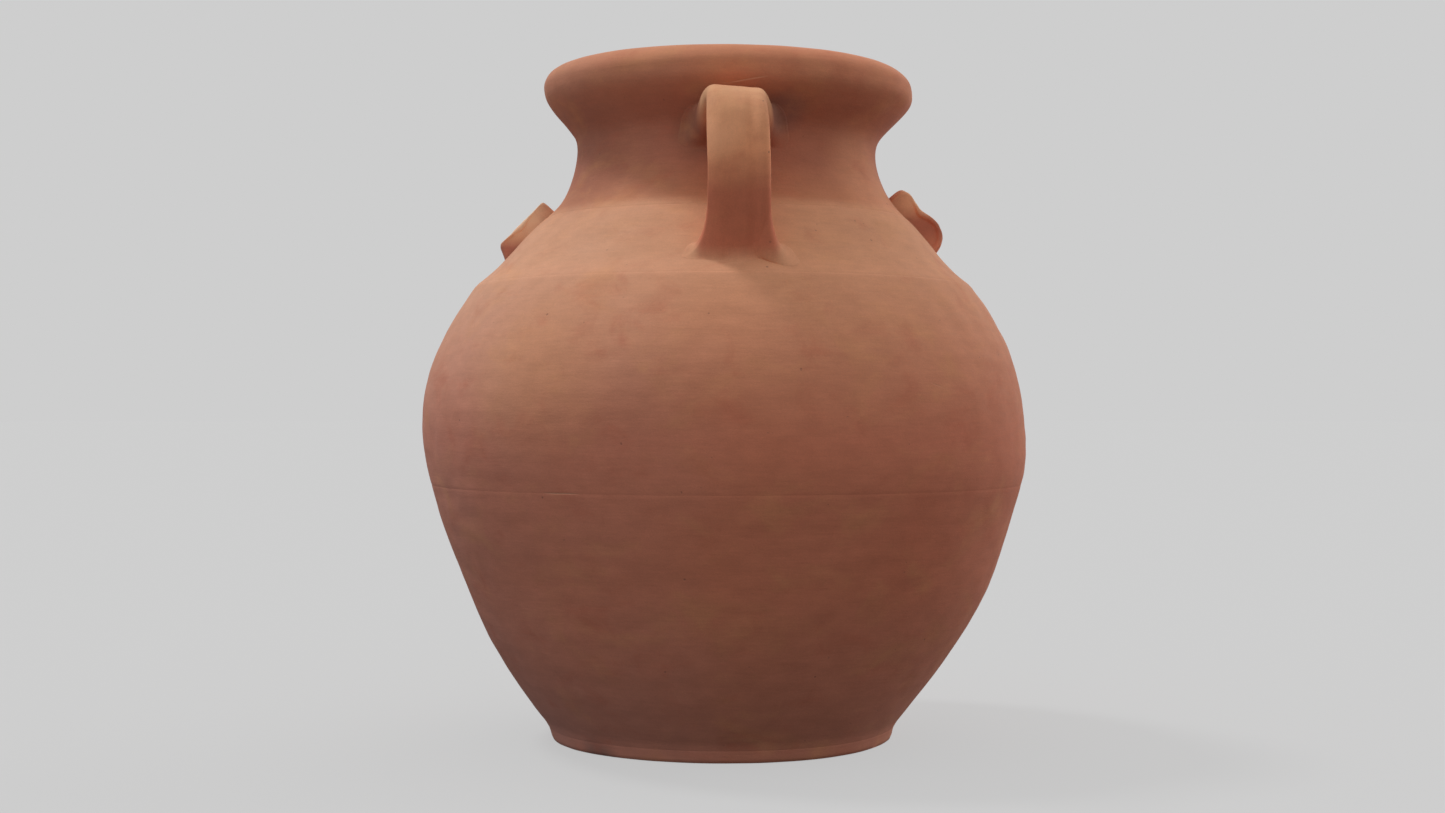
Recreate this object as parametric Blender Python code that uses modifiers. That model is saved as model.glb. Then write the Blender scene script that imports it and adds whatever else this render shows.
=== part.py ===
"""Terracotta amphora: a wide-mouthed jar thrown in five sections on a foot slab.

Each thrown section sits on the one below by a ridge and groove, with a layer of
slip between them. Two pulled strap handles are luted to the neck and the
shoulder, each root bound by a coil of clay, and two applied ornaments stand on
the shoulder at the sides. Metres, +Z up. The origin is the centre of the foot's
underside, the handles lie on -Y and +Y and the ornaments on -X and +X.
"""

import math
from collections import namedtuple

import bmesh
import bpy
from mathutils import Matrix, Vector
from mathutils.bvhtree import BVHTree
from mathutils.geometry import interpolate_bezier

# Heights of the stacked pieces, from the floor up.
FOOT_HEIGHT = 0.009
LOWER_WALL_HEIGHT = 0.162
BELLY_WALL_HEIGHT = 0.133
SHOULDER_HEIGHT = 0.045
NECK_HEIGHT = 0.055
RIM_HEIGHT = 0.046

# Outer radii, and how far each ring beside a main one stands in or out from it.
FOOT_RADIUS = 0.1158
FOOT_OVERHANG = 0.0002
BELLY_RADIUS = 0.202
SEAM_INSET = 0.0041
BREAK_RADIUS = 0.1663
WAIST_RADIUS = 0.1007
NECK_FLARE = 0.0213
RIM_FLARE = 0.0018
LIP_FLARE = 0.0238

# Where the widest ring lies above its section's foot, and the narrowest below its section's top.
BELLY_RISE = 0.034
WAIST_DROP = 0.006

# How the wall leans as it rises through each ring: 90 is upright, less leans out, more leans in.
FOOT_LEAN = 48.6
SEAM_LEAN = 75.5
UNDER_BREAK_LEAN = 126
OVER_BREAK_LEAN = 145
NECK_JOINT_LEAN = 139
RIM_JOINT_LEAN = 50

# Clay, joints and the fineness of the turned pieces.
WALL = 0.009
SLIP = 0.0004
RIDGE = 0.004
CURVE_PULL = 0.36
SEGMENTS = 48
SHARP_ANGLE = 40

# The foot's bottom edge, and the lip.
FOOT_EDGE = 0.0008
FOOT_TAPER = 0.0004
LIP_SWELL_HEIGHT = 0.0145
LIP_SWELL_WIDTH = 0.018
LIP_UNDERSIDE_RISE = 0.0235
LIP_UNDERCUT = 0.0008
LIP_INNER_EDGE = 0.003

# Strap handles.
STRAP_WIDTH = 0.037
STRAP_THICKNESS = 0.013
STRAP_CORNER = 0.0058
STRAP_FLAT = 0.0005
CROWN_RISE = 0.0145
CROWN_REACH = 0.038
ELBOW_REACH = 0.063
ELBOW_DROP = 0.020
ROOT_LEAN = 14
FOOT_SHARE = 0.31
FOOT_RUN_LEAN = -104
STRAP_PULL = 0.4
STRAP_STEPS = 7
CORNER_STEPS = 4
UPPER_COIL_RADIUS = 0.0045
LOWER_COIL_RADIUS = 0.0075
LOWER_COIL_SPREAD = 0.003
COIL_POINTS = 28

# Applied ornaments: breadth round the jar, how far each is set into the wall, and the softness of its
# edges. A share is a place on the shoulder's slope, from the break to the neck joint.
ORNAMENT_BREADTH = 0.042
ORNAMENT_SEAT = 0.005
ORNAMENT_EDGE = 0.002
TABLET_SHARE = 0.765
TABLET_LENGTH = 0.047
TABLET_THICKNESS = 0.0078
TABLET_LOWER_DRAFT = 0.006
TABLET_UPPER_DRAFT = 0.001
LUG_SHARE = 0.875
LUG_LENGTH = 0.049
LUG_THICKNESS = 0.0133
LUG_LOWER_ROUND = 0.0125
LUG_HOLLOW_PLACE = 0.009
LUG_HOLLOW_LEVEL = 0.0095
LUG_KNOB_LEVEL = 0.0105
LUG_KNOB_ROUND = 0.0055

# The fired clay of each piece: linear red, green and blue.
CLAY_ROUGHNESS = 0.9
CLAY_COLOUR = {
    "foot_slab": (0.28, 0.12, 0.085),
    "lower_wall": (0.33, 0.14, 0.09),
    "belly_wall": (0.38, 0.17, 0.105),
    "shoulder_wall": (0.46, 0.23, 0.15),
    "neck_collar": (0.36, 0.16, 0.11),
    "rim_lip": (0.38, 0.17, 0.11),
    "front_handle": (0.42, 0.2, 0.125),
    "back_handle": (0.42, 0.2, 0.125),
    "front_handle_upper_coil": (0.37, 0.16, 0.1),
    "front_handle_lower_coil": (0.37, 0.16, 0.1),
    "back_handle_upper_coil": (0.37, 0.16, 0.1),
    "back_handle_lower_coil": (0.37, 0.16, 0.1),
    "left_tablet": (0.46, 0.24, 0.16),
    "right_lug": (0.42, 0.21, 0.14),
}

FOOT_LEVEL = FOOT_HEIGHT
SEAM_LEVEL = FOOT_LEVEL + LOWER_WALL_HEIGHT
BREAK_LEVEL = SEAM_LEVEL + BELLY_WALL_HEIGHT
NECK_LEVEL = BREAK_LEVEL + SHOULDER_HEIGHT
RIM_LEVEL = NECK_LEVEL + NECK_HEIGHT
WAIST_LEVEL = RIM_LEVEL - WAIST_DROP
TOP_LEVEL = RIM_LEVEL + RIM_HEIGHT

LIP_RADIUS = WAIST_RADIUS + LIP_FLARE

Ring = namedtuple("Ring", "level radius lean_below lean_above")

RINGS = {
    "foot": Ring(FOOT_LEVEL, FOOT_RADIUS + FOOT_OVERHANG, FOOT_LEAN, FOOT_LEAN),
    "seam": Ring(SEAM_LEVEL, BELLY_RADIUS - SEAM_INSET, SEAM_LEAN, SEAM_LEAN),
    "belly": Ring(SEAM_LEVEL + BELLY_RISE, BELLY_RADIUS, 90, 90),
    "break": Ring(BREAK_LEVEL, BREAK_RADIUS, UNDER_BREAK_LEAN, OVER_BREAK_LEAN),
    "neck": Ring(NECK_LEVEL, WAIST_RADIUS + NECK_FLARE, NECK_JOINT_LEAN, NECK_JOINT_LEAN),
    "waist": Ring(WAIST_LEVEL, WAIST_RADIUS, 90, 90),
    "rim": Ring(RIM_LEVEL, WAIST_RADIUS + RIM_FLARE, RIM_JOINT_LEAN, RIM_JOINT_LEAN),
}


def heading(degrees):
    """The unit step in the (radius, level) plane for a lean."""
    return Vector((math.cos(math.radians(degrees)), math.sin(math.radians(degrees))))


def inner_radius(ring):
    """Where the inside of the wall lies at a ring, for an even thickness square to the wall."""
    lean = math.radians((ring.lean_below + ring.lean_above) / 2)
    return ring.radius - WALL / math.sin(lean)


def bowed(low, high, inside, steps):
    """Points up a wall from one ring to the next, leaving and meeting them at their leans."""
    radii = [inner_radius(ring) if inside else ring.radius for ring in (low, high)]
    start, end = (Vector((r, ring.level)) for r, ring in zip(radii, (low, high)))
    pull = CURVE_PULL * (end - start).length
    leave = start + pull * heading(low.lean_above)
    arrive = end - pull * heading(high.lean_below)
    return interpolate_bezier(start, leave, arrive, end, steps + 1)


def wall_side(names, inside, steps):
    """Points up one side of a section that passes through these rings."""
    points = []
    for low, high in zip(names, names[1:]):
        points += bowed(RINGS[low], RINGS[high], inside, steps)[bool(points) :]
    return points


def ridge_top(ring, shift):
    """The crest of the ridge that joins two sections, in the middle of the wall and along its lean."""
    middle = Vector(((ring.radius + inner_radius(ring)) / 2, ring.level + shift))
    return middle + RIDGE * heading((ring.lean_below + ring.lean_above) / 2)


def moved_up(point, shift):
    return Vector((point.x, point.y + shift))


def arc(centre, across, up, start, end, steps):
    """Points on an ellipse from one angle to another, in degrees."""
    angles = (math.radians(start + (end - start) * k / steps) for k in range(steps + 1))
    return [centre + Vector((across * math.cos(a), up * math.sin(a))) for a in angles]


def collection(name):
    made = bpy.data.collections.new(name)
    bpy.context.scene.collection.children.link(made)
    return made


def clay(piece):
    """A matt fired clay in the colour of the piece."""
    made = bpy.data.materials.new(piece + "_clay")
    made.use_nodes = True
    shader = made.node_tree.nodes["Principled BSDF"]
    shader.inputs["Base Color"].default_value = (*CLAY_COLOUR[piece], 1)
    shader.inputs["Roughness"].default_value = CLAY_ROUGHNESS
    shader.inputs["Metallic"].default_value = 0
    return made


def placed(name, data, home):
    """An object with this data. A piece of the jar takes its own clay."""
    made = bpy.data.objects.new(name, data)
    home.objects.link(made)
    if name in CLAY_COLOUR:
        data.materials.append(clay(name))
    return made


def cutter(obj):
    obj.hide_render = True
    obj.display_type = "WIRE"
    return obj


def turned(name, profile, home, closed=True):
    """A solid turned about Z from (radius, level) points that run down the outer side first."""
    mesh = bpy.data.meshes.new(name)
    count = len(profile)
    edges = [(k, (k + 1) % count) for k in range(count if closed else count - 1)]
    mesh.from_pydata([(p.x, 0, p.y) for p in profile], edges, [])
    made = placed(name, mesh, home)
    screw = made.modifiers.new("Turn", "SCREW")
    screw.steps = screw.render_steps = SEGMENTS
    screw.use_merge_vertices = True
    screw.merge_threshold = 1e-6
    screw.use_smooth_shade = True
    return made


def thrown_section(name, names, steps, home):
    """One thrown ring of wall, with a groove under it and a ridge on top."""
    low, high = RINGS[names[0]], RINGS[names[-1]]
    outer = wall_side(names, False, steps)
    inner = wall_side(names, True, steps)
    for side in (outer, inner):
        side[0] = moved_up(side[0], SLIP / 2)
        side[-1] = moved_up(side[-1], -SLIP / 2)
    profile = [*reversed(outer), ridge_top(low, SLIP / 2), *inner, ridge_top(high, -SLIP / 2)]
    return turned(name, profile, home)


def foot_slab(home):
    """The disc that the jar was thrown on, with a ridge that the lowest section sits over."""
    ring = RINGS["foot"]
    top = ring.level - SLIP / 2
    side = FOOT_RADIUS - FOOT_TAPER
    profile = [
        Vector((0, top)),
        Vector((inner_radius(ring), top)),
        ridge_top(ring, -SLIP / 2),
        Vector((FOOT_RADIUS, top)),
        Vector((side, FOOT_EDGE)),
        Vector((side - FOOT_EDGE, 0)),
        Vector((0, 0)),
    ]
    return turned("foot_slab", profile, home, closed=False)


def lip_outside():
    """Up the lip from its foot on the neck, out along its underside and round the swell to its flat top."""
    foot = Vector((RINGS["rim"].radius, RIM_LEVEL))
    under_edge = Vector((LIP_RADIUS - LIP_UNDERCUT, RIM_LEVEL + LIP_UNDERSIDE_RISE))
    centre = Vector((LIP_RADIUS - LIP_SWELL_WIDTH, TOP_LEVEL - LIP_SWELL_HEIGHT))
    return [foot, under_edge, *arc(centre, LIP_SWELL_WIDTH, LIP_SWELL_HEIGHT, 0, 90, 7)]


def rim_lip(home):
    """The thick lip, with a flat top and a rounded inner edge, grooved underneath for the neck's ridge."""
    foot, *outside = lip_outside()
    mouth = inner_radius(RINGS["waist"])
    centre = Vector((mouth + LIP_INNER_EDGE, TOP_LEVEL - LIP_INNER_EDGE))
    profile = [
        *reversed([*outside, *arc(centre, LIP_INNER_EDGE, LIP_INNER_EDGE, 90, 180, 3)]),
        moved_up(foot, SLIP / 2),
        ridge_top(RINGS["rim"], SLIP / 2),
        Vector((mouth, RIM_LEVEL + SLIP / 2)),
    ]
    return turned("rim_lip", profile, home)


def neck_collar(home):
    """The concave neck, upright inside where the lip sits on it."""
    names = ("neck", "waist", "rim")
    outer = wall_side(names, False, 5)
    inner = bowed(RINGS["neck"], RINGS["waist"], True, 6)
    inner.append(Vector((inner[-1].x, RIM_LEVEL - SLIP / 2)))
    inner[0] = moved_up(inner[0], SLIP / 2)
    outer[0] = moved_up(outer[0], SLIP / 2)
    outer[-1] = moved_up(outer[-1], -SLIP / 2)
    low_groove = ridge_top(RINGS["neck"], SLIP / 2)
    high_ridge = ridge_top(RINGS["rim"], -SLIP / 2)
    profile = [*reversed(outer), low_groove, *inner, high_ridge]
    return turned("neck_collar", profile, home)


def grown(points, by):
    """A line of points moved square to itself, outwards for a line that runs up the jar."""
    moved = []
    for k, point in enumerate(points):
        before = points[max(k - 1, 0)]
        after = points[min(k + 1, len(points) - 1)]
        run = (after - before).normalized()
        moved.append(point + by * Vector((run.y, -run.x)))
    return moved


def envelope(home):
    """A cutter as big as the jar's outside and the slip on it, which trims whatever is luted on."""
    side = [
        *wall_side(("foot", "seam"), False, 8),
        *wall_side(("seam", "belly", "break"), False, 6)[1:],
        *wall_side(("break", "neck"), False, 5)[1:],
        *wall_side(("neck", "waist", "rim"), False, 5)[1:],
        *lip_outside()[1:],
    ]
    side = grown(side, SLIP)
    profile = [Vector((0, side[-1].y)), *reversed(side), Vector((0, side[0].y))]
    return cutter(turned("envelope", profile, home, closed=False))


def shoulder_point(share):
    """A point on the outside of the shoulder, this share of the way up it."""
    low, high = RINGS["break"], RINGS["neck"]
    start = Vector((low.radius, low.level))
    return start.lerp(Vector((high.radius, high.level)), share)


def strap_knots():
    """Where the strap's middle line runs, as (point, heading in degrees), from the neck to the shoulder."""
    wall_middle = WALL / 2
    foot = shoulder_point(FOOT_SHARE)
    slope = heading(OVER_BREAK_LEAN - 90)
    return [
        (Vector((WAIST_RADIUS - wall_middle, WAIST_LEVEL)), ROOT_LEAN),
        (Vector((WAIST_RADIUS + CROWN_REACH, WAIST_LEVEL + CROWN_RISE)), 0),
        (Vector((WAIST_RADIUS + ELBOW_REACH, WAIST_LEVEL - ELBOW_DROP)), -90),
        (foot - wall_middle * slope, FOOT_RUN_LEAN),
    ]


def on_handle_plane(point):
    """A (radius, level) point put on the front of the jar."""
    return Vector((0, -point.x, point.y))


def section_outline(growth):
    """The strap's cross-section, a bar with round corners: across it, then through it."""
    half = Vector((STRAP_WIDTH / 2 + growth, STRAP_THICKNESS / 2 + growth))
    corner = min(STRAP_CORNER, STRAP_THICKNESS / 2 - STRAP_FLAT) + growth
    points = []
    for turn, (sx, sy) in enumerate(((1, 1), (-1, 1), (-1, -1), (1, -1))):
        centre = Vector((sx * (half.x - corner), sy * (half.y - corner)))
        points += arc(centre, corner, corner, 90 * turn, 90 * turn + 90, CORNER_STEPS)
    return points


def poly_curve(name, points, home, closed, dimensions="3D"):
    data = bpy.data.curves.new(name, "CURVE")
    data.dimensions = dimensions
    spline = data.splines.new("POLY")
    spline.points.add(len(points) - 1)
    for spot, point in zip(spline.points, points):
        spot.co = (*point, *([0] * (3 - len(point))), 1)
    spline.use_cyclic_u = closed
    return placed(name, data, home)


def as_mesh(curve, name, home):
    """The curve's solid as a mesh object, with its caps welded. The curve is removed."""
    bpy.context.view_layer.update()
    graph = bpy.context.evaluated_depsgraph_get()
    mesh = bpy.data.meshes.new_from_object(curve.evaluated_get(graph))
    matrix = curve.matrix_world.copy()
    bpy.data.objects.remove(curve)
    work = bmesh.new()
    work.from_mesh(mesh)
    bmesh.ops.remove_doubles(work, verts=work.verts, dist=1e-6)
    bmesh.ops.recalc_face_normals(work, faces=work.faces)
    work.to_mesh(mesh)
    work.free()
    mesh.materials.clear()
    mesh.name = name
    mesh.shade_smooth()
    mesh.set_sharp_from_angle(angle=math.radians(SHARP_ANGLE))
    made = placed(name, mesh, home)
    made.matrix_world = matrix
    return made


def strap(name, growth, home):
    """The pulled strap as a bar swept from inside the neck wall to inside the shoulder wall."""
    section = poly_curve(name + "_section", section_outline(growth), home, True, "2D")
    data = bpy.data.curves.new(name + "_path", "CURVE")
    data.dimensions = "3D"
    data.resolution_u = STRAP_STEPS
    data.bevel_mode = "OBJECT"
    data.bevel_object = section
    data.use_fill_caps = True
    knots = strap_knots()
    gaps = [(b[0] - a[0]).length for a, b in zip(knots, knots[1:])]
    spline = data.splines.new("BEZIER")
    spline.bezier_points.add(len(knots) - 1)
    for k, (spot, (point, angle)) in enumerate(zip(spline.bezier_points, knots)):
        before, after = gaps[max(k - 1, 0)], gaps[min(k, len(gaps) - 1)]
        spot.handle_left_type = spot.handle_right_type = "FREE"
        spot.co = on_handle_plane(point)
        spot.handle_left = on_handle_plane(point - STRAP_PULL * before * heading(angle))
        spot.handle_right = on_handle_plane(point + STRAP_PULL * after * heading(angle))
    made = as_mesh(placed(name + "_path", data, home), name, home)
    bpy.data.objects.remove(section)
    return made


def landing(wall, knot, way, spread):
    """The strap's outline, spread by this much, where it lands on the wall.

    The knot lies inside the wall, and the strap runs in to it forwards (way 1) or backwards (-1).
    """
    point, angle = knot
    run = way * on_handle_plane(heading(angle))
    across = Vector((1, 0, 0))
    through = run.cross(across)
    outside = on_handle_plane(point) - run * 2 * (STRAP_WIDTH + STRAP_THICKNESS)
    tree = BVHTree.FromObject(wall, bpy.context.evaluated_depsgraph_get())
    outline = even_loop(section_outline(spread), COIL_POINTS)
    return [tree.ray_cast(outside + flat.x * across + flat.y * through, run)[0] for flat in outline]


def even_loop(points, count):
    """The same closed outline with evenly spaced points."""
    sides = list(zip(points, [*points[1:], points[0]]))
    lengths = [(b - a).length for a, b in sides]
    spots, side, passed = [], 0, 0.0
    for k in range(count):
        along = sum(lengths) * k / count
        while along > passed + lengths[side]:
            passed += lengths[side]
            side += 1
        spots.append(sides[side][0].lerp(sides[side][1], (along - passed) / lengths[side]))
    return spots


def cut(obj, tool):
    trim = obj.modifiers.new("Cut by " + tool.name, "BOOLEAN")
    trim.operation = "DIFFERENCE"
    trim.solver = "EXACT"
    trim.object = tool


def binding_coil(name, spots, radius, tools, home):
    """A coil of clay pressed into the corner between the strap and the wall, all round the strap."""
    loop = poly_curve(name + "_path", spots, home, True)
    loop.data.bevel_depth = radius
    loop.data.bevel_resolution = 2
    coil = as_mesh(loop, name, home)
    for tool in tools:
        cut(coil, tool)
    return coil


def handle(side, turn, wall, home, tools):
    """A strap and its two coils, turned to its side of the jar."""
    group = bpy.data.objects.new(side + "_handle_group", None)
    home.objects.link(group)
    strap_tool = cutter(strap(side + "_strap_tool", SLIP, tools))
    body = strap(side + "_handle", 0, home)
    cut(body, wall)
    knots = strap_knots()
    upper = landing(wall, knots[0], -1, 0)
    lower = landing(wall, knots[-1], 1, LOWER_COIL_SPREAD)
    stops = (wall, strap_tool)
    upper_coil = binding_coil(side + "_handle_upper_coil", upper, UPPER_COIL_RADIUS, stops, home)
    lower_coil = binding_coil(side + "_handle_lower_coil", lower, LOWER_COIL_RADIUS, stops, home)
    for obj in (strap_tool, body, upper_coil, lower_coil):
        obj.parent = group
    group.rotation_euler.z = math.radians(turn)


def tablet_outline():
    """A flat tablet seen from its end: (up the slope, off the wall)."""
    half = TABLET_LENGTH / 2
    return [
        Vector((-half, -ORNAMENT_SEAT)),
        Vector((half, -ORNAMENT_SEAT)),
        Vector((half - TABLET_UPPER_DRAFT, TABLET_THICKNESS)),
        Vector((-half + TABLET_LOWER_DRAFT, TABLET_THICKNESS)),
    ]


def lug_outline():
    """A lug seen from its end: a round knob at the top, a hollow and a thick rounded lower end."""
    half = LUG_LENGTH / 2
    knob = Vector((half - LUG_KNOB_ROUND, LUG_KNOB_LEVEL - LUG_KNOB_ROUND))
    low_end = Vector((-half + LUG_LOWER_ROUND, LUG_THICKNESS - LUG_LOWER_ROUND))
    return [
        Vector((-half, -ORNAMENT_SEAT)),
        Vector((half, -ORNAMENT_SEAT)),
        *arc(knob, LUG_KNOB_ROUND, LUG_KNOB_ROUND, 0, 110, 5),
        Vector((LUG_HOLLOW_PLACE, LUG_HOLLOW_LEVEL)),
        *arc(low_end, LUG_LOWER_ROUND, LUG_LOWER_ROUND, 60, 180, 6),
    ]


def ornament(name, outline, share, turn, wall, home):
    """A piece applied to the shoulder, extruded round the jar and turned to its side."""
    spot = shoulder_point(share)
    rise = math.atan2(NECK_LEVEL - BREAK_LEVEL, RINGS["neck"].radius - BREAK_RADIUS)
    # The outline's X runs up the slope and its Y off the wall, in the plane through the jar's axis.
    up_slope = Vector((math.cos(rise), 0, math.sin(rise)))
    off_wall = Vector((math.sin(rise), 0, -math.cos(rise)))
    frame = Matrix((up_slope, off_wall, up_slope.cross(off_wall))).transposed().to_4x4()
    flat = poly_curve(name + "_outline", outline, home, True, "2D")
    flat.data.fill_mode = "BOTH"
    flat.data.extrude = ORNAMENT_BREADTH / 2
    to_side = Matrix.Rotation(math.radians(turn), 4, "Z")
    flat.matrix_world = to_side @ Matrix.Translation((spot.x, 0, spot.y)) @ frame
    made = as_mesh(flat, name, home)
    edge = made.modifiers.new("Soft edges", "BEVEL")
    edge.width = ORNAMENT_EDGE
    edge.segments = 2
    edge.angle_limit = math.radians(50)
    cut(made, wall)
    return made


def main():
    for obj in list(bpy.data.objects):
        bpy.data.objects.remove(obj)
    home = collection("amphora")
    tools = collection("cutters")

    foot_slab(home)
    thrown_section("lower_wall", ("foot", "seam"), 8, home)
    thrown_section("belly_wall", ("seam", "belly", "break"), 6, home)
    thrown_section("shoulder_wall", ("break", "neck"), 5, home)
    neck_collar(home)
    rim_lip(home)

    wall = envelope(tools)
    handle("front", 0, wall, home, tools)
    handle("back", 180, wall, home, tools)
    ornament("left_tablet", tablet_outline(), TABLET_SHARE, 180, wall, home)
    ornament("right_lug", lug_outline(), LUG_SHARE, 0, wall, home)


main()
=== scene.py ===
"""Terracotta amphora: hand-thrown walls, handles, ornaments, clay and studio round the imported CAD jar."""

import math
from collections import namedtuple

import bmesh
import bpy
import numpy as np
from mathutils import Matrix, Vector
from mathutils.bvhtree import BVHTree

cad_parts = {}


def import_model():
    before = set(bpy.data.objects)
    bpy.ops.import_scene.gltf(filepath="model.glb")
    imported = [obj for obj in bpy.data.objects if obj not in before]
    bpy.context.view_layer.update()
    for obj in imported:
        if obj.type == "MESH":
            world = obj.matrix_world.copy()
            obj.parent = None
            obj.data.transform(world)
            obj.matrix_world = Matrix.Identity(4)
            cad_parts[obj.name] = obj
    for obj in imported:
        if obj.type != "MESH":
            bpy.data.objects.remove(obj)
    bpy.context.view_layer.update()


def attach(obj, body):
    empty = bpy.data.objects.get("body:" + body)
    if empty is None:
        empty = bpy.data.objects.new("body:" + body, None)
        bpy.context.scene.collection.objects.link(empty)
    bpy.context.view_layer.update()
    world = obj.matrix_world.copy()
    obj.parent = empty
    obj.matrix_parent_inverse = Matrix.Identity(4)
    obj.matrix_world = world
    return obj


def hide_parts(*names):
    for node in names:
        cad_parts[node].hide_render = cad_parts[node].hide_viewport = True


# The jar's rings, as the CAD has them: level, radius, lean of the wall below and above.
FOOT_TOP = 0.009
SEAM = 0.171
BREAK = 0.304
NECK = 0.349
WAIST = 0.398
RIM = 0.404
TOP = 0.45
BREAK_RADIUS = 0.1663
NECK_RADIUS = 0.122
WAIST_RADIUS = 0.1007
RINGS = {
    "foot": (FOOT_TOP, 0.116, 48.6, 48.6),
    "seam": (SEAM, 0.1979, 75.5, 75.5),
    "belly": (SEAM + 0.034, 0.202, 90, 90),
    "break": (BREAK, BREAK_RADIUS, 126, 145),
    "neck": (NECK, NECK_RADIUS, 139, 139),
    "waist": (WAIST, WAIST_RADIUS, 90, 90),
    "rim": (RIM, 0.1025, 50, 50),
}
WALL = 0.009
BOW_PULL = 0.36
FOOT_RADIUS = 0.1158
FOOT_EDGE = 0.0008
FOOT_TAPER = 0.0004
LIP_RADIUS = 0.1245
LIP_UNDERCUT = 0.0006
LIP_UNDERSIDE_RISE = 0.0235
LIP_SWELL_HEIGHT = 0.0145
LIP_SWELL_WIDTH = 0.018
MOUTH = 0.0917
MOUTH_EDGE = 0.004

# Spacing of the section's points, and how many run round the jar.
STEP = 0.001
COLUMNS = 576
# How far corners are rounded, in steps: everywhere, at the softest joints, and once more over all.
ROUNDING = 1.6
SOFT_ROUNDING = 4.5
LAST_ROUNDING = 1.0
# The joints that were smoothed over most, and how far the smoothing reaches, in steps.
SOFTEST = {"foot": 6, "rim": 12, "lip": 9}
SHARP_ANGLE = math.radians(55)

# Hand-thrown unevenness: gentle leans of the jar's axis as (level, reach up and down, x in mm, y in mm).
LEANS = (
    (0.105, 0.042, 3.4, 1.2),
    (0.178, 0.030, 2.2, 0.0),
    (0.240, 0.040, 0.0, -0.6),
    (0.360, 0.033, 2.7, 0.4),
    (0.422, 0.030, 4.8, 0.0),
)
# Swellings of the wall (height, wavelength) and the spiral ridges that the fingers left, deeper inside.
BROAD_SWELL, BROAD_WAVE = 0.00045, 0.11
FINE_SWELL, FINE_WAVE = 0.00012, 0.022
RIDGE_SPACING = 0.0125
RIDGE_DEPTH = 0.00003
INSIDE_DEEPER = 10
# How oval the jar is, as a share of its radius, and how much its lip slopes from left to right.
OVAL = 0.000875
LIP_TILT = -0.005
# Depth of the groove that is left along each luted joint.
GROOVES = {"foot": 0.0002, "seam": 0.00014, "break": 0.00018, "neck": 0.00045}


def heading(degrees):
    """The direction at this lean, as (radius, level)."""
    return np.array([math.cos(math.radians(degrees)), math.sin(math.radians(degrees))])


def smooth_step(x, low, high):
    """0 below low and 1 above high, or the other way about where low is the larger."""
    t = np.clip((x - low) / (high - low), 0, 1)
    return t * t * (3 - 2 * t)


def waves(points, wavelength, seed, count=22):
    """A smooth random field over 3-D points, about -2 to 2, made of plane waves near one wavelength."""
    rng = np.random.default_rng(seed)
    ways = rng.normal(size=(count, 3))
    ways /= np.linalg.norm(ways, axis=1)[:, None]
    ways *= 2 * math.pi / (wavelength * rng.uniform(0.7, 1.5, (count, 1)))
    turns = rng.uniform(0, 2 * math.pi, count)
    return np.cos(points @ ways.T + turns).sum(axis=-1) * math.sqrt(2 / count)


def inner(ring):
    """The ring on the inside of the wall beside an outer one."""
    level, radius, below, above = ring
    return level, radius - WALL / math.sin(math.radians((below + above) / 2)), below, above


def bezier(start, leave, arrive, end, t):
    """Points at the shares t of a cubic curve."""
    t = t[:, None]
    return (1 - t) ** 3 * start + 3 * (1 - t) ** 2 * t * leave + 3 * (1 - t) * t * t * arrive + t**3 * end


def spread_evenly(line, spots_at):
    """Points along a polyline at the places that spots_at gives for its length."""
    along = np.r_[0, np.cumsum(np.linalg.norm(np.diff(line, axis=0), axis=1))]
    spots = spots_at(along[-1])
    return np.stack([np.interp(spots, along, line[:, k]) for k in (0, 1)], axis=1)


def bow(low, high):
    """A curved run of wall from one ring to the next, as (radius, level) points."""
    start, end = np.array([low[1], low[0]]), np.array([high[1], high[0]])
    pull = BOW_PULL * np.linalg.norm(end - start)
    leave, arrive = start + pull * heading(low[3]), end - pull * heading(high[2])
    return bezier(start, leave, arrive, end, np.linspace(0, 1, 60))


def arc(centre, across, up, start, end):
    """Part of an ellipse from one angle to another, in degrees."""
    a = np.radians(np.linspace(start, end, 16))
    return np.array(centre) + np.stack([across * np.cos(a), up * np.sin(a)], axis=1)


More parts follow.
